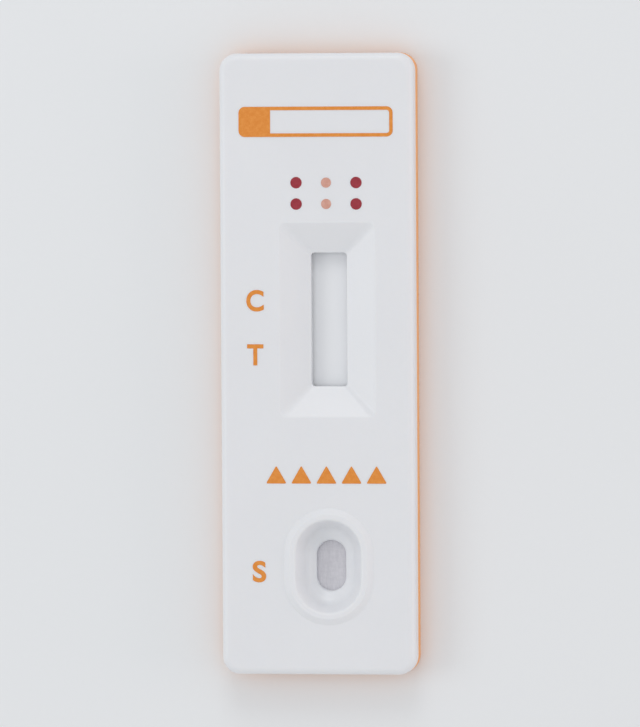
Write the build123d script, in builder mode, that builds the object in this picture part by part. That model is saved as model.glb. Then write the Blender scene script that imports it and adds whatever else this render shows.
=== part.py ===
"""Lateral flow cassette: a two-part moulded case that holds a laminated test strip.

The case lies on its back. X runs across it and Y along it, with the sample end at -Y,
and +Z points out of the printed face. The origin is the middle of the underside.
All sizes are in millimetres. The strip sets the length of the case and the thickest pad
sets its height: as drawn it is 70 long, 22 wide and 5 from the underside to the printed face.
"""
import os

from build123d import *

os.makedirs("parts", exist_ok=True)

# Case outline and walls
case_width = 22.0
corner_radius = 2.0
face_edge_radius = 0.8
foot_edge_radius = 0.5
side_wall = 1.2
floor_thickness = 1.0
roof_thickness = 1.2
roof_headroom = 0.9

# Seam between the two halves, with a tongue on the base inside the cover's wall
seam_height = 2.2
seam_chamfer = 0.15
tongue_height = 0.6
tongue_thickness = 0.55
tongue_clearance = 0.05

# Press pins of the cover and their sockets in the base, with six flats that grip a pin
pin_diameter = 1.2
pin_clearance = 0.05
pin_tip_gap = 0.3
pin_end_inset = 6.0
pin_window_gap = 2.5
socket_wall = 0.7
socket_height = 1.8
socket_side_gap = 0.2
socket_side_count = 6

# Strip, which runs to one side of the case's middle line
strip_offset = 1.2
strip_width = 5.0
strip_end_room = 3.8
card_thickness = 0.3
membrane_thickness = 0.2
conjugate_thickness = 0.4
sample_thickness = 0.6
absorbent_thickness = 1.0
sample_low_margin = 2.55
sample_high_margin = 3.5
conjugate_length = 11.1
membrane_margin = 5.0
absorbent_length = 14.45
pad_overlap = 2.0
pad_ramp = 0.6

# Bed of the strip in the base: cross ribs, side guides and end stops
rib_height = 0.4
rib_thickness = 0.8
rib_count = 9
guide_height = 0.65
guide_thickness = 0.8
guide_length = 4.0
guide_count = 4
strip_side_clearance = 0.15
stop_thickness = 1.0
stop_gap = 0.3

# Result window: an opening with upright walls at the foot of four slopes
window_width = 4.1
window_length = 15.1
window_corner_radius = 0.4
window_wall_height = 1.2
window_wall = 1.0
window_gap = 0.3
window_slope_run = 3.4
window_slope_thickness = 1.0
recess_corner_radius = 0.7
recess_edge_radius = 0.25

# Sample well: a dish with a raised rim, and a slot at its foot over the sample pad
well_slot_width = 3.3
well_slot_length = 5.7
well_slot_depth = 0.4
well_dish_width = 7.6
well_dish_length = 10.6
well_floor_rise = 0.7
well_floor_width = 5.3
well_floor_length = 8.5
well_floor_radius = 1.4
well_slot_edge_radius = 0.35
well_skirt_wall = 1.8
rim_height = 0.35
rim_crest = 0.6
rim_slope_run = 0.7
rim_crest_radius = 0.25

# Bars under the roof that hold the strip down
press_gap = 0.05
bar_thickness = 0.8
absorbent_bar_count = 2

# Heights above the underside
bed_top = floor_thickness + rib_height
card_top = bed_top + card_thickness
membrane_top = card_top + membrane_thickness
sample_top = card_top + sample_thickness
absorbent_top = card_top + absorbent_thickness
absorbent_lap_top = membrane_top + absorbent_thickness
conjugate_lap_top = membrane_top + conjugate_thickness
sample_lap_top = card_top + conjugate_thickness + sample_thickness
roof_underside = absorbent_lap_top + roof_headroom
case_height = roof_underside + roof_thickness
guide_top_height = rib_height + guide_height
opening_bottom = membrane_top + window_gap
opening_top = opening_bottom + window_wall_height
slope_underside = opening_top - window_slope_thickness
skirt_bottom = sample_top + press_gap
slot_top = skirt_bottom + well_slot_depth
bowl_floor_top = slot_top + well_floor_rise
rim_top = case_height + rim_height
pin_tip = floor_thickness + pin_tip_gap

# Places along the case: each layer of the strip laps onto the one before it
sample_length = sample_low_margin + well_slot_length + 2 * well_skirt_wall + sample_high_margin
membrane_length = window_length + 2 * membrane_margin
strip_length = sample_length + conjugate_length + membrane_length + absorbent_length - 3 * pad_overlap
case_length = strip_length + 2 * (strip_end_room + side_wall)
strip_low = -strip_length / 2
strip_high = strip_length / 2
sample_high = strip_low + sample_length
conjugate_low = sample_high - pad_overlap
conjugate_high = conjugate_low + conjugate_length
membrane_low = conjugate_high - pad_overlap
membrane_high = membrane_low + membrane_length
absorbent_low = membrane_high - pad_overlap
window_y = (membrane_low + membrane_high) / 2
well_y = strip_low + sample_low_margin + well_skirt_wall + well_slot_length / 2

# Window slopes: how far out each step up takes them
recess_length = window_length + 2 * window_slope_run
slope_ratio = window_slope_run / (case_height - opening_top)

# Pins stand in two columns, beside both ends of the window and near both ends of the case
socket_bore = pin_diameter + 2 * pin_clearance
socket_diameter = socket_bore + 2 * socket_wall
pin_x = case_width / 2 - side_wall - socket_side_gap - socket_diameter / 2
pin_rows = [
    -case_length / 2 + pin_end_inset,
    window_y - recess_length / 2 - pin_window_gap,
    window_y + recess_length / 2 + pin_window_gap,
    case_length / 2 - pin_end_inset,
]
pin_places = [(x, y) for x in (-pin_x, pin_x) for y in pin_rows]

# Strip channel
channel_width = strip_width + 2 * strip_side_clearance
bed_width = channel_width + 2 * guide_thickness
rib_pitch = (strip_length - rib_thickness) / (rib_count - 1)
guide_pitch = (strip_length - guide_length) / (guide_count - 1)

cavity_width = case_width - 2 * side_wall
cavity_length = case_length - 2 * side_wall
cavity_radius = corner_radius - side_wall
strip_plane = Plane.YZ.offset(strip_offset)
level_tolerance = 0.001


def cavity_outline(grow, mode=Mode.ADD):
    """Inner outline of the walls, grown outwards by the given amount."""
    width = cavity_width + 2 * grow
    length = cavity_length + 2 * grow
    RectangleRounded(width, length, cavity_radius + grow, mode=mode)


def window_outline(grow, radius):
    """Window opening on the strip's line, grown outwards by the given amount."""
    with Locations((strip_offset, window_y)):
        RectangleRounded(window_width + 2 * grow, window_length + 2 * grow, radius)


def well_outline(width, length):
    """Round-ended slot on the strip's line, over the sample pad."""
    with Locations((strip_offset, well_y)):
        SlotOverall(length, width, rotation=90)


def edges_at(piece, height):
    """Edges of a piece whose middles lie at the given height."""
    return piece.edges().filter_by_position(Axis.Z, height - level_tolerance, height + level_tolerance)


def draped_profile(free_end, step, lap_end, climb, thickness):
    """Side view of a pad that lies on the card and climbs onto its neighbour at step."""
    forward = 1 if lap_end > free_end else -1
    under = [
        (free_end, card_top),
        (step - forward * pad_ramp, card_top),
        (step, card_top + climb),
        (lap_end, card_top + climb),
    ]
    return under + [(y, z + thickness) for y, z in reversed(under)]


# Base: tray with the strip's bed, the sockets and the tongue
with BuildPart() as base:
    with BuildSketch():
        RectangleRounded(case_width, case_length, corner_radius)
    extrude(amount=seam_height)
    fillet(base.faces().sort_by(Axis.Z)[0].edges(), radius=foot_edge_radius)
    chamfer(base.faces().sort_by(Axis.Z)[-1].edges(), length=seam_chamfer)
    with BuildSketch(Plane.XY.offset(floor_thickness)):
        cavity_outline(0)
    extrude(amount=seam_height - floor_thickness, mode=Mode.SUBTRACT)

    # Tongue that stands up inside the cover's wall
    with BuildSketch(Plane.XY.offset(floor_thickness)):
        cavity_outline(tongue_thickness)
        cavity_outline(0, mode=Mode.SUBTRACT)
    extrude(amount=seam_height + tongue_height - floor_thickness)

    # Cross ribs under the card
    with BuildSketch(Plane.XY.offset(floor_thickness)):
        with Locations((strip_offset, 0)):
            with GridLocations(0, rib_pitch, 1, rib_count):
                Rectangle(bed_width, rib_thickness)
    extrude(amount=rib_height)

    # Guides along both sides of the card, and a stop past each end
    with BuildSketch(Plane.XY.offset(floor_thickness)):
        with Locations((strip_offset, 0)):
            with GridLocations(channel_width + guide_thickness, guide_pitch, 2, guide_count):
                Rectangle(guide_thickness, guide_length)
            with GridLocations(0, strip_length + 2 * stop_gap + stop_thickness, 1, 2):
                Rectangle(bed_width, stop_thickness)
    extrude(amount=guide_top_height)

    # Sockets for the cover's pins
    with BuildSketch(Plane.XY.offset(floor_thickness)):
        with Locations(*pin_places):
            Circle(socket_diameter / 2)
            RegularPolygon(socket_bore / 2, socket_side_count, major_radius=False, mode=Mode.SUBTRACT)
    extrude(amount=socket_height)

base.part.label = "base"
export_step(base.part, "parts/base.step")


# Hollow of the sample well: a slot, a gently sloping floor and a steeper wall, blended together
with BuildPart() as well_hollow:
    with BuildSketch(Plane.XY.offset(skirt_bottom)):
        well_outline(well_slot_width, well_slot_length)
    extrude(amount=well_slot_depth)
    with BuildSketch(Plane.XY.offset(slot_top)):
        well_outline(well_slot_width, well_slot_length)
    with BuildSketch(Plane.XY.offset(bowl_floor_top)):
        well_outline(well_floor_width, well_floor_length)
    loft(ruled=True)
    with BuildSketch(Plane.XY.offset(bowl_floor_top)):
        well_outline(well_floor_width, well_floor_length)
    with BuildSketch(Plane.XY.offset(rim_top)):
        well_outline(well_dish_width, well_dish_length)
    loft(ruled=True)
    fillet(edges_at(well_hollow, bowl_floor_top), radius=well_floor_radius)
    fillet(edges_at(well_hollow, slot_top), radius=well_slot_edge_radius)


# Top cover: one moulding with the window, the sample well, the bars and the pins
with BuildPart() as top_cover:
    with BuildSketch(Plane.XY.offset(seam_height)):
        RectangleRounded(case_width, case_length, corner_radius)
    extrude(amount=case_height - seam_height)
    fillet(top_cover.faces().sort_by(Axis.Z)[-1].edges(), radius=face_edge_radius)
    chamfer(top_cover.faces().sort_by(Axis.Z)[0].edges(), length=seam_chamfer)
    with BuildSketch(Plane.XY.offset(seam_height)):
        cavity_outline(0)
    extrude(amount=roof_underside - seam_height, mode=Mode.SUBTRACT)
    with BuildSketch(Plane.XY.offset(seam_height)):
        cavity_outline(tongue_thickness + tongue_clearance)
    extrude(amount=tongue_height + tongue_clearance, mode=Mode.SUBTRACT)

    # Window: a collar and a belly that follows the slopes, then the slopes and the opening cut through them
    with BuildSketch(Plane.XY.offset(opening_bottom)):
        window_outline(window_wall, recess_corner_radius)
    extrude(amount=roof_underside - opening_bottom)
    with BuildSketch(Plane.XY.offset(slope_underside)):
        window_outline(window_wall, recess_corner_radius)
    with BuildSketch(Plane.XY.offset(roof_underside)):
        window_outline(window_wall + (roof_underside - slope_underside) * slope_ratio, recess_corner_radius)
    loft(ruled=True)
    with BuildSketch(Plane.XY.offset(opening_top)):
        window_outline(0, window_corner_radius)
    with BuildSketch(Plane.XY.offset(case_height)):
        window_outline(window_slope_run, recess_corner_radius)
    loft(ruled=True, mode=Mode.SUBTRACT)
    with BuildSketch(Plane.XY.offset(opening_bottom)):
        window_outline(0, window_corner_radius)
    extrude(amount=window_wall_height, mode=Mode.SUBTRACT)
    printed_face = top_cover.faces().filter_by(Axis.Z).sort_by(Axis.Z)[-1]
    fillet(printed_face.inner_wires()[0].edges(), radius=recess_edge_radius)

    # Sample well: raised rim outside, skirt inside, then the dish and its slot
    with BuildSketch(Plane.XY.offset(case_height)):
        rim_grow = 2 * (rim_crest + rim_slope_run)
        well_outline(well_dish_width + rim_grow, well_dish_length + rim_grow)
    with BuildSketch(Plane.XY.offset(rim_top)):
        well_outline(well_dish_width + 2 * rim_crest, well_dish_length + 2 * rim_crest)
    loft(ruled=True)
    with BuildSketch(Plane.XY.offset(skirt_bottom)):
        well_outline(well_slot_width + 2 * well_skirt_wall, well_slot_length + 2 * well_skirt_wall)
    extrude(amount=roof_underside - skirt_bottom)
    add(well_hollow.part, mode=Mode.SUBTRACT)
    crest = top_cover.faces().filter_by(Axis.Z).sort_by(Axis.Z)[-1]
    fillet(crest.inner_wires()[0].edges(), radius=rim_crest_radius)

    # Bars that hold the pads down where they overlap, and along the absorbent pad
    bar_step = (strip_high - membrane_high) / (absorbent_bar_count + 1)
    bars = [
        (sample_high - pad_overlap / 2, sample_lap_top),
        (membrane_low + pad_overlap / 2, conjugate_lap_top),
        (membrane_high - pad_overlap / 2, absorbent_lap_top),
    ]
    bars += [(membrane_high + (i + 1) * bar_step, absorbent_top) for i in range(absorbent_bar_count)]
    for bar_y, pad_top in bars:
        with BuildSketch(Plane.XY.offset(pad_top + press_gap)):
            with Locations((strip_offset, bar_y)):
                Rectangle(strip_width, bar_thickness)
        extrude(amount=roof_underside - pad_top - press_gap)

    # Pins that press into the sockets
    with BuildSketch(Plane.XY.offset(pin_tip)):
        with Locations(*pin_places):
            Circle(pin_diameter / 2)
    extrude(amount=roof_underside - pin_tip)

top_cover.part.label = "top_cover"
export_step(top_cover.part, "parts/top_cover.step")


# Backing card: the plastic strip that all the layers are stuck to
with BuildPart() as backing_card:
    with BuildSketch(Plane.XY.offset(bed_top)):
        with Locations((strip_offset, 0)):
            Rectangle(strip_width, strip_length)
    extrude(amount=card_thickness)

backing_card.part.label = "backing_card"
export_step(backing_card.part, "parts/backing_card.step")


# Membrane: the reading surface under the window
with BuildPart() as nitrocellulose_membrane:
    with BuildSketch(Plane.XY.offset(card_top)):
        with Locations((strip_offset, window_y)):
            Rectangle(strip_width, membrane_length)
    extrude(amount=membrane_thickness)

nitrocellulose_membrane.part.label = "nitrocellulose_membrane"
export_step(nitrocellulose_membrane.part, "parts/nitrocellulose_membrane.step")


# Conjugate pad: lies on the card and climbs onto the membrane's low end
with BuildPart() as conjugate_pad:
    with BuildSketch(strip_plane):
        with BuildLine():
            Polyline(
                *draped_profile(
                    conjugate_low, membrane_low, conjugate_high, membrane_thickness, conjugate_thickness
                ),
                close=True,
            )
        make_face()
    extrude(amount=strip_width / 2, both=True)

conjugate_pad.part.label = "conjugate_pad"
export_step(conjugate_pad.part, "parts/conjugate_pad.step")


# Sample pad: lies under the well and climbs onto the conjugate pad
with BuildPart() as sample_pad:
    with BuildSketch(strip_plane):
        with BuildLine():
            Polyline(
                *draped_profile(
                    strip_low, conjugate_low, sample_high, conjugate_thickness, sample_thickness
                ),
                close=True,
            )
        make_face()
    extrude(amount=strip_width / 2, both=True)

sample_pad.part.label = "sample_pad"
export_step(sample_pad.part, "parts/sample_pad.step")


# Absorbent pad: fills the far end and climbs onto the membrane's high end
with BuildPart() as absorbent_pad:
    with BuildSketch(strip_plane):
        with BuildLine():
            Polyline(
                *draped_profile(
                    strip_high, membrane_high, absorbent_low, membrane_thickness, absorbent_thickness
                ),
                close=True,
            )
        make_face()
    extrude(amount=strip_width / 2, both=True)

absorbent_pad.part.label = "absorbent_pad"
export_step(absorbent_pad.part, "parts/absorbent_pad.step")
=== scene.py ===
"""Lateral flow cassette: the finishes of the moulded case and the test strip, and the marks
printed on the face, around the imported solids.

All lengths are in metres. The cassette lies on its back: +X runs to the right across the printed
face, +Y away from the sample well and +Z out of the face.
"""
import math

import bpy
from mathutils import Matrix, Vector


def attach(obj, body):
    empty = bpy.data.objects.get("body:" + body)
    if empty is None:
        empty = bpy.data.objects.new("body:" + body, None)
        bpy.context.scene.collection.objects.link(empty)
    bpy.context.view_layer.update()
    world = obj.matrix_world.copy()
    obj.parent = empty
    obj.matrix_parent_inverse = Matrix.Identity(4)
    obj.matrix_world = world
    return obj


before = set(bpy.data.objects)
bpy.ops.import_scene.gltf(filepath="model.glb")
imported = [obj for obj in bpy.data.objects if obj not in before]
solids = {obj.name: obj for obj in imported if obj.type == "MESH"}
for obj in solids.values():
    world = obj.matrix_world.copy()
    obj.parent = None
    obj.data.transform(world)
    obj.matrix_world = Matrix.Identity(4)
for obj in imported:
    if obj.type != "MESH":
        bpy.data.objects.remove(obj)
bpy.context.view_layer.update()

MM = 0.001

# Least upward part of a normal on a face that counts as level
level_normal = 0.99


def printed_face_height(cover):
    """Height of the cover's widest level face, the one that carries the print."""
    level_faces = [face for face in cover.data.polygons if face.normal.z > level_normal]
    widest = max(level_faces, key=lambda face: face.area)
    return widest.center.z


# Printed face, and the ink that lies on it with its foot just inside the plastic
face_height = printed_face_height(solids["top_cover"])
ink_thickness = 0.02 * MM
ink_sink = 0.004 * MM
ink_edge = 0.012 * MM
ink_edge_steps = 2
ink_foot = face_height - ink_sink
ink_middle = ink_foot + ink_thickness / 2

# Letters beside the window and the well; a capital takes up a share of its text size
letter_height = 2.35 * MM
letter_weight = 0.09 * MM
capital_share = 0.73
letter_places = {
    "C": (-7.0 * MM, 7.05 * MM),
    "T": (-7.0 * MM, 0.95 * MM),
    "S": (-6.7 * MM, -23.5 * MM),
}
letter_widths = {"C": 0.92, "T": 0.92, "S": 1.08}

# Two rows of dots above the window
dot_columns = (-2.25 * MM, 1.15 * MM, 4.55 * MM)
dot_rows = (20.45 * MM, 18.05 * MM)
outer_dot = 1.3 * MM
middle_dot = 1.15 * MM
dot_sides = 48

# Write-on field near the far end, and the arrows that show which way the sample runs
field_middle = (0.0, 27.3 * MM)
field_size = (17.5 * MM, 3.4 * MM)
field_line = 0.4 * MM
field_corner = 0.7 * MM
field_corner_steps = 6
field_tab = 3.6 * MM
arrow_middle = (1.0 * MM, -12.75 * MM)
arrow_count = 5
arrow_pitch = 2.85 * MM
arrow_radius = 1.35 * MM
arrow_corner = 0.18 * MM
arrow_corner_steps = 4


def srgb(red, green, blue):
    """A colour as it looks on screen, from 0 to 255, as the linear colour that a shader takes."""
    linear = [((c / 255 + 0.055) / 1.055) ** 2.4 for c in (red, green, blue)]
    return (*linear, 1.0)


class Value:
    """A number that changes over a surface: arithmetic on it adds Math nodes to its finish."""

    def __init__(self, finish, socket):
        self.finish = finish
        self.socket = socket

    def worked(self, operation, first, second):
        """A new value, from a Math node on two values or numbers."""
        node = self.finish.add("ShaderNodeMath", {"operation": operation}, {0: first, 1: second})
        return Value(self.finish, node.outputs[0])

    def __add__(self, other):
        return self.worked("ADD", self, other)

    def __radd__(self, other):
        return self.worked("ADD", other, self)

    def __sub__(self, other):
        return self.worked("SUBTRACT", self, other)

    def __rsub__(self, other):
        return self.worked("SUBTRACT", other, self)

    def __mul__(self, other):
        return self.worked("MULTIPLY", self, other)

    def __rmul__(self, other):
        return self.worked("MULTIPLY", other, self)


class Nodes:
    """A node tree to build on."""

    def __init__(self, tree):
        self.tree = tree

    def add(self, kind, settings, sockets):
        """A node of this kind, with its settings made first and then its sockets fed."""
        node = self.tree.nodes.new(kind)
        for setting, value in settings.items():
            setattr(node, setting, value)
        for name, value in sockets.items():
            self.feed(node.inputs[name], value)
        return node

    def feed(self, socket, value):
        """Links a socket to what varies, or sets it to what doesn't."""
        if isinstance(value, Value):
            value = value.socket
        if isinstance(value, bpy.types.NodeSocket):
            self.tree.links.new(value, socket)
        else:
            socket.default_value = value


class Finish(Nodes):
    """The look of one material of the cassette."""

    def __init__(self, name):
        self.material = bpy.data.materials.new(name)
        self.material.use_nodes = True
        super().__init__(self.material.node_tree)
        self.shader = self.tree.nodes["Principled BSDF"]
        place = self.add("ShaderNodeTexCoord", {}, {})
        self.place = place.outputs["Object"]

    def noise(self, size, detail=2.0, roughness=0.5, stretch=(1.0, 1.0, 1.0)):
        """Soft random mottling, from 0 to 1, with patches of about this size."""
        scaled = self.add("ShaderNodeMapping", {}, {"Vector": self.place, "Scale": stretch})
        node = self.add(
            "ShaderNodeTexNoise",
            {},
            {
                "Vector": scaled.outputs["Vector"],
                "Scale": 1.0 / size,
                "Detail": detail,
                "Roughness": roughness,
            },
        )
        return Value(self, node.outputs["Fac"])

    def height(self):
        """Height above the underside of the cassette."""
        split = self.add("ShaderNodeSeparateXYZ", {}, {"Vector": self.place})
        return Value(self, split.outputs["Z"])

    def step(self, value, low, high):
        """A smooth rise from 0 to 1 while the value goes from low to high."""
        node = self.add(
            "ShaderNodeMapRange",
            {"interpolation_type": "SMOOTHSTEP"},
            {"Value": value, "From Min": low, "From Max": high},
        )
        return Value(self, node.outputs["Result"])

    def mixed(self, share, first, second):
        """Two colours, with this share of the second."""
        node = self.add("ShaderNodeMix", {"data_type": "RGBA"}, {0: share, 6: first, 7: second})
        return node.outputs[2]

    def relief(self, height, depth, strength):
        """Fine relief of this depth on the surface."""
        bump = self.add(
            "ShaderNodeBump", {}, {"Height": height, "Distance": depth, "Strength": strength}
        )
        self.feed(self.shader.inputs["Normal"], bump.outputs["Normal"])

    def shade(self, **sockets):
        """Feeds the shader: words in a socket's name are joined by underscores."""
        for name, value in sockets.items():
            self.feed(self.shader.inputs[name.replace("_", " ")], value)


def moulded_plastic(name, pale, deep, grain_rise):
    """Satin moulding: polished below two heights, and with a fine spark grain above them."""
    plastic = Finish(name)
    clouds = plastic.noise(9 * MM, detail=3.0)
    grain = plastic.noise(0.13 * MM, detail=2.0, roughness=0.6)
    speckle = plastic.noise(0.4 * MM, detail=1.0)
    grained = plastic.step(plastic.height(), *grain_rise)
    plastic.shade(
        Base_Color=plastic.mixed(clouds * 0.7 + speckle * 0.3, deep, pale),
        Roughness=0.26 + grained * 0.18 + grain * 0.1,
        IOR=1.5,
        Subsurface_Weight=0.4,
        Subsurface_Radius=(1.0, 0.95, 0.9),
        Subsurface_Scale=0.5 * MM,
    )
    plastic.relief(
        grain * (grained * 0.8 + 0.2) + clouds * 0.5, depth=0.006 * MM, strength=0.35
    )
    return plastic.material


def porous_membrane(name, pale, deep):
    """Matt cast membrane: even, with the finest of pores."""
    membrane = Finish(name)
    pores = membrane.noise(0.08 * MM, detail=3.0, roughness=0.7)
    drift = membrane.noise(3 * MM, detail=2.0, stretch=(1.0, 0.25, 1.0))
    membrane.shade(
        Base_Color=membrane.mixed(pores * 0.6 + drift * 0.4, deep, pale),
        Roughness=0.82 + pores * 0.12,
    )
    membrane.relief(pores, depth=0.01 * MM, strength=0.4)
    return membrane.material


def fibre_pad(name, pale, deep, fibre_size):
    """Laid fibres that run mostly along the strip, with a loose and uneven surface."""
    pad = Finish(name)
    along = pad.noise(fibre_size, detail=4.0, roughness=0.65, stretch=(1.0, 0.22, 1.0))
    across = pad.noise(fibre_size * 1.3, detail=3.0, roughness=0.6, stretch=(0.3, 1.0, 1.0))
    lumps = pad.noise(1.1 * MM, detail=2.0)
    weave = along * 0.55 + across * 0.25 + lumps * 0.2
    contrast = pad.step(weave, 0.3, 0.7)
    pad.shade(Base_Color=pad.mixed(contrast, deep, pale), Roughness=0.85 + along * 0.1)
    pad.relief(weave, depth=0.08 * MM, strength=0.6)
    return pad.material


def sheet_plastic(name, pale, deep):
    """Smooth rolled sheet with faint lines along its length."""
    sheet = Finish(name)
    lines = sheet.noise(0.25 * MM, detail=2.0, stretch=(1.0, 0.03, 1.0))
    clouds = sheet.noise(6 * MM)
    sheet.shade(
        Base_Color=sheet.mixed(clouds * 0.6 + lines * 0.4, deep, pale),
        Roughness=0.3 + lines * 0.12,
    )
    sheet.relief(lines, depth=0.003 * MM, strength=0.3)
    return sheet.material


def pad_ink(name, full, thin):
    """Pad-printed ink: a little uneven, and thinner in small patches."""
    ink = Finish(name)
    cover = ink.noise(0.5 * MM, detail=3.0, roughness=0.6)
    pits = ink.noise(0.12 * MM, detail=2.0)
    ink.shade(
        Base_Color=ink.mixed(ink.step(cover * 0.7 + pits * 0.3, 0.35, 0.7), full, thin),
        Roughness=0.5 + pits * 0.15,
    )
    ink.relief(pits * 0.6 + cover * 0.4, depth=0.006 * MM, strength=0.4)
    return ink.material


def pale_paper(name, pale, deep):
    """Plain pale sheet that the cassette lies on."""
    paper = Finish(name)
    clouds = paper.noise(60 * MM, detail=2.0)
    tooth = paper.noise(0.6 * MM, detail=2.0)
    paper.shade(
        Base_Color=paper.mixed(clouds * 0.7 + tooth * 0.3, deep, pale),
        Roughness=0.75 + tooth * 0.1,
    )
    paper.relief(tooth, depth=0.01 * MM, strength=0.15)
    return paper.material


# Heights between which a moulding turns from polished to grained; the base is grained all over
cover_grain_rise = (face_height - 0.1 * MM, face_height - 0.01 * MM)
base_grain_rise = (-1.0 * MM, 0.1 * MM)

cover_white = moulded_plastic(
    "cover_white", srgb(233, 235, 239), srgb(228, 230, 234), cover_grain_rise
)
base_orange = moulded_plastic(
    "base_orange", srgb(245, 174, 108), srgb(239, 161, 94), base_grain_rise
)
membrane_white = porous_membrane("membrane_white", srgb(241, 243, 246), srgb(232, 234, 238))
card_white = sheet_plastic("card_white", srgb(238, 238, 237), srgb(231, 231, 230))
conjugate_pink = fibre_pad("conjugate_pink", srgb(232, 206, 208), srgb(205, 170, 176), 0.22 * MM)
# The sample pad's grey is partly its own tint and partly painted shade, darkened for the deep slot
# of the well above it
sample_grey_and_painted_shade = fibre_pad("sample_grey_and_painted_shade", srgb(216, 215, 221), srgb(198, 197, 204), 0.2 * MM)
absorbent_paper = fibre_pad("absorbent_paper", srgb(240, 238, 232), srgb(222, 219, 210), 0.3 * MM)
orange_ink = pad_ink("orange_ink", srgb(222, 134, 42), srgb(230, 150, 64))
maroon_ink = pad_ink("maroon_ink", srgb(146, 30, 46), srgb(158, 46, 60))
tan_ink = pad_ink("tan_ink", srgb(206, 150, 134), srgb(216, 168, 154))
floor_paper = pale_paper("floor_paper", srgb(235, 238, 241), srgb(231, 234, 237))

node_finishes = {
    "top_cover": cover_white,
    "base": base_orange,
    "backing_card": card_white,
    "nitrocellulose_membrane": membrane_white,
    "conjugate_pad": conjugate_pink,
    "sample_pad": sample_grey_and_painted_shade,
    "absorbent_pad": absorbent_paper,
}
for node_name, finish in node_finishes.items():
    solids[node_name].data.materials.clear()
    solids[node_name].data.materials.append(finish)


def nothing_selected():
    """Deselects everything, so that an operator acts on the new piece alone."""
    bpy.ops.object.select_all(action="DESELECT")


def select_faces(piece, wanted):
    """In edit mode, selects the faces that the test picks by middle and normal."""
    bpy.ops.mesh.select_all(action="DESELECT")
    bpy.ops.mesh.select_mode(type="FACE")
    bpy.ops.object.mode_set(mode="OBJECT")
    for face in piece.data.polygons:
        face.select = wanted(face.center, face.normal)
    bpy.ops.object.mode_set(mode="EDIT")


def soften_ink_edge(piece):
    """Rounds the upper edge of a print, where the ink draws in as it dries."""
    select_faces(piece, lambda middle, normal: normal.z > level_normal)
    bpy.ops.mesh.region_to_loop()
    bpy.ops.mesh.bevel(offset=ink_edge, segments=ink_edge_steps, affect="EDGES")
    bpy.ops.mesh.select_all(action="DESELECT")


def lay_on_face(piece, name, finish):
    """Finishes a print: its place goes into its mesh, and it rides with the cassette."""
    nothing_selected()
    piece.select_set(True)
    bpy.context.view_layer.objects.active = piece
    bpy.ops.object.transform_apply(location=True, rotation=True, scale=True)
    piece.name = name
    piece.data.name = name
    piece.data.materials.clear()
    piece.data.materials.append(finish)
    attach(piece, "root")
    return piece


def copy_to(piece, name, move):
    """A copy of a finished print, with its own mesh, moved along the face."""
    twin = piece.copy()
    twin.data = piece.data.copy()
    twin.data.transform(Matrix.Translation((*move, 0.0)))
    twin.name = name
    twin.data.name = name
    bpy.context.collection.objects.link(twin)
    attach(twin, "root")
    return twin


def printed_letter(letter, place):
    """One bold letter of ink, made as text and then turned into a mesh."""
    nothing_selected()
    bpy.ops.object.text_add(location=(0, 0, 0))
    text = bpy.context.object
    text.data.body = letter
    text.data.align_x = "CENTER"
    text.data.align_y = "CENTER"
    text.data.size = letter_height / capital_share
    text.data.offset = letter_weight
    text.data.extrude = ink_thickness / 2
    bpy.ops.object.convert(target="MESH")
    mark = bpy.context.object
    mark.location = (*place, ink_middle)
    mark.scale = (letter_widths[letter], 1, 1)
    return lay_on_face(mark, f"mark_{letter}", orange_ink)


def ink_dot(name, place, diameter, finish):
    """One round dot with a soft edge."""
    nothing_selected()
    middle = (*place, ink_middle)
    bpy.ops.mesh.primitive_cylinder_add(
        vertices=dot_sides, radius=diameter / 2, depth=ink_thickness, location=middle
    )
    dot = bpy.context.object
    bpy.ops.object.mode_set(mode="EDIT")
    soften_ink_edge(dot)
    bpy.ops.object.mode_set(mode="OBJECT")
    return lay_on_face(dot, name, finish)


def flow_arrow(name, place):
    """One small triangle with rounded corners that points from the well to the window."""
    nothing_selected()
    middle = (*place, ink_middle)
    bpy.ops.mesh.primitive_cylinder_add(
        vertices=3, radius=arrow_radius, depth=ink_thickness, location=middle
    )
    arrow = bpy.context.object
    bpy.ops.object.mode_set(mode="EDIT")
    bpy.ops.mesh.select_mode(type="EDGE")
    bpy.ops.mesh.select_all(action="DESELECT")
    bpy.ops.object.mode_set(mode="OBJECT")
    for edge in arrow.data.edges:
        ends = [arrow.data.vertices[i].co for i in edge.vertices]
        edge.select = abs(ends[0].z - ends[1].z) > ink_thickness / 2
    bpy.ops.object.mode_set(mode="EDIT")
    bpy.ops.mesh.bevel(offset=arrow_corner, segments=arrow_corner_steps, affect="EDGES")
    soften_ink_edge(arrow)
    bpy.ops.object.mode_set(mode="OBJECT")
    return lay_on_face(arrow, name, orange_ink)


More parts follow.
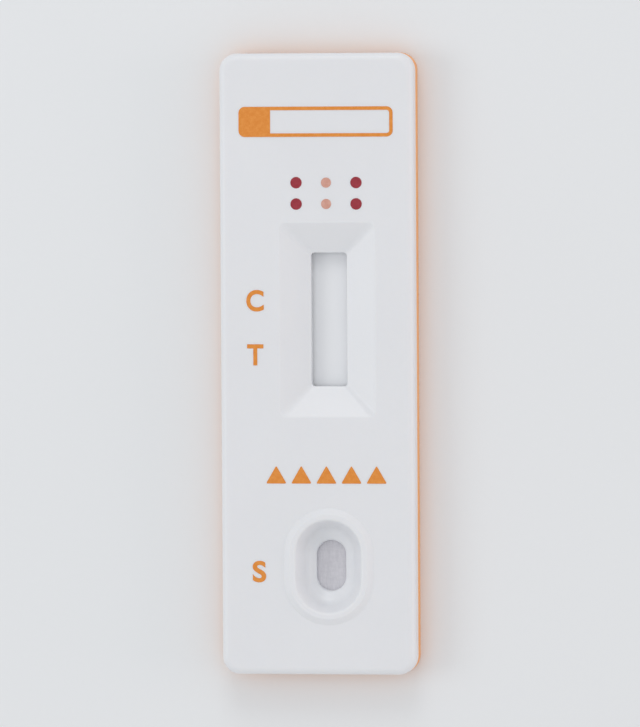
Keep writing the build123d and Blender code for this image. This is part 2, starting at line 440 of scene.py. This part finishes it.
def write_on_field():
    """A rounded outline to write in, with a solid tab at its left end."""
    half_width = field_size[0] / 2
    half_height = field_size[1] / 2
    tab_edge = field_tab - half_width

    def is_blank(at, normal):
        """Whether a face is the open middle, right of the tab and inside the line."""
        right_end = half_width - field_line - field_corner
        return tab_edge < at.x < right_end and abs(at.y) < (half_height - field_line) / 2

    nothing_selected()
    bpy.ops.mesh.primitive_plane_add(size=1, location=(0, 0, 0))
    field = bpy.context.object
    field.scale = (*field_size, 1)
    bpy.ops.object.transform_apply(location=False, rotation=False, scale=True)
    bpy.ops.object.mode_set(mode="EDIT")
    bpy.ops.mesh.select_all(action="SELECT")
    bpy.ops.mesh.bevel(offset=field_corner, segments=field_corner_steps, affect="VERTICES")
    bpy.ops.mesh.select_all(action="SELECT")
    bpy.ops.mesh.inset(thickness=field_line)
    bpy.ops.mesh.bisect(plane_co=(tab_edge, 0, 0), plane_no=(1, 0, 0))
    select_faces(field, is_blank)
    bpy.ops.mesh.delete(type="FACE")
    bpy.ops.object.mode_set(mode="OBJECT")
    thicken = field.modifiers.new("ink_thickness", "SOLIDIFY")
    thicken.thickness = ink_thickness
    thicken.offset = 1.0
    bpy.ops.object.modifier_apply(modifier=thicken.name)
    bpy.ops.object.mode_set(mode="EDIT")
    soften_ink_edge(field)
    bpy.ops.object.mode_set(mode="OBJECT")
    field.location = (*field_middle, ink_foot)
    return lay_on_face(field, "write_on_field", orange_ink)


for letter, place in letter_places.items():
    printed_letter(letter, place)

# The four outer dots are copies of one, and so are the two middle ones
first_dot = ink_dot("outer_dot_1", (dot_columns[0], dot_rows[0]), outer_dot, maroon_ink)
pitch_across = dot_columns[2] - dot_columns[0]
pitch_down = dot_rows[1] - dot_rows[0]
copy_to(first_dot, "outer_dot_2", (pitch_across, 0.0))
copy_to(first_dot, "outer_dot_3", (0.0, pitch_down))
copy_to(first_dot, "outer_dot_4", (pitch_across, pitch_down))
pale_dot = ink_dot("middle_dot_1", (dot_columns[1], dot_rows[0]), middle_dot, tan_ink)
copy_to(pale_dot, "middle_dot_2", (0.0, pitch_down))

first_arrow_x = arrow_middle[0] - arrow_pitch * (arrow_count - 1) / 2
first_arrow = flow_arrow("flow_arrow_1", (first_arrow_x, arrow_middle[1]))
for i in range(1, arrow_count):
    copy_to(first_arrow, f"flow_arrow_{i + 1}", (arrow_pitch * i, 0.0))

write_on_field()

# Floor, a hair below the underside so that the two never lie in one plane
floor_size = 3.0
floor_drop = 0.02 * MM
nothing_selected()
bpy.ops.mesh.primitive_grid_add(
    x_subdivisions=8, y_subdivisions=8, size=floor_size, location=(0, 0, -floor_drop)
)
floor = bpy.context.object
floor.name = "floor"
floor.data.materials.append(floor_paper)

# Lamps to the left and beyond the far end, and a low warm one to the right
lamp_distance = 0.6
white_light = (1.0, 1.0, 1.0)
warm_light = (1.0, 0.78, 0.72)


def soft_lamp(name, direction, size, power, colour):
    """A square lamp that faces the cassette."""
    lamp = bpy.data.lights.new(name, "AREA")
    lamp.size = size
    lamp.energy = power
    lamp.color = colour
    stand = bpy.data.objects.new(name, lamp)
    away = Vector(direction).normalized()
    stand.location = away * lamp_distance
    stand.rotation_euler = away.to_track_quat("Z", "Y").to_euler()
    bpy.context.collection.objects.link(stand)


soft_lamp("left_lamp", (-0.72, 0.0, 0.69), size=0.24, power=0.42, colour=white_light)
soft_lamp("far_lamp", (0.0, 0.76, 0.65), size=0.24, power=0.46, colour=white_light)
soft_lamp("right_lamp", (0.97, 0.0, 0.26), size=0.28, power=0.44, colour=warm_light)

# Even light from all round, with a paler backdrop where it is seen
ambient_strength = 0.72
backdrop_strength = 0.82
world = bpy.data.worlds.new("studio")
bpy.context.scene.world = world
world.use_nodes = True
studio = Nodes(world.node_tree)
sky = studio.tree.nodes["Background"]
ray = studio.add("ShaderNodeLightPath", {}, {}).outputs
seen = Value(studio, ray["Is Camera Ray"])
for kind in ("Is Glossy Ray", "Is Transmission Ray"):
    seen = seen + Value(studio, ray[kind])
studio.feed(sky.inputs["Color"], (1.0, 1.0, 1.0, 1.0))
studio.feed(sky.inputs["Strength"], ambient_strength + seen * (backdrop_strength - ambient_strength))

# Camera over the face, a little to the right and towards the far end
camera_tilt_right = math.radians(8.0)
camera_tilt_far = math.radians(2.5)
camera_distance = 0.9
framed_height = 82.0 * MM
camera_data = bpy.data.cameras.new("camera")
camera_data.sensor_fit = "VERTICAL"
camera_data.sensor_height = 36.0
camera_data.lens = camera_data.sensor_height * camera_distance / framed_height
camera = bpy.data.objects.new("camera", camera_data)
bpy.context.collection.objects.link(camera)
aim = Vector((0.0, 0.0, face_height / 2))
back = Vector((math.tan(camera_tilt_right), math.tan(camera_tilt_far), 1.0)).normalized()
right = (Vector((1.0, 0.0, 0.0)) - back.x * back).normalized()
up = back.cross(right)
turn = Matrix((right, up, back)).transposed().to_4x4()
camera.matrix_world = Matrix.Translation(aim + back * camera_distance) @ turn
bpy.context.scene.camera = camera
bpy.context.scene.view_settings.view_transform = "Standard"
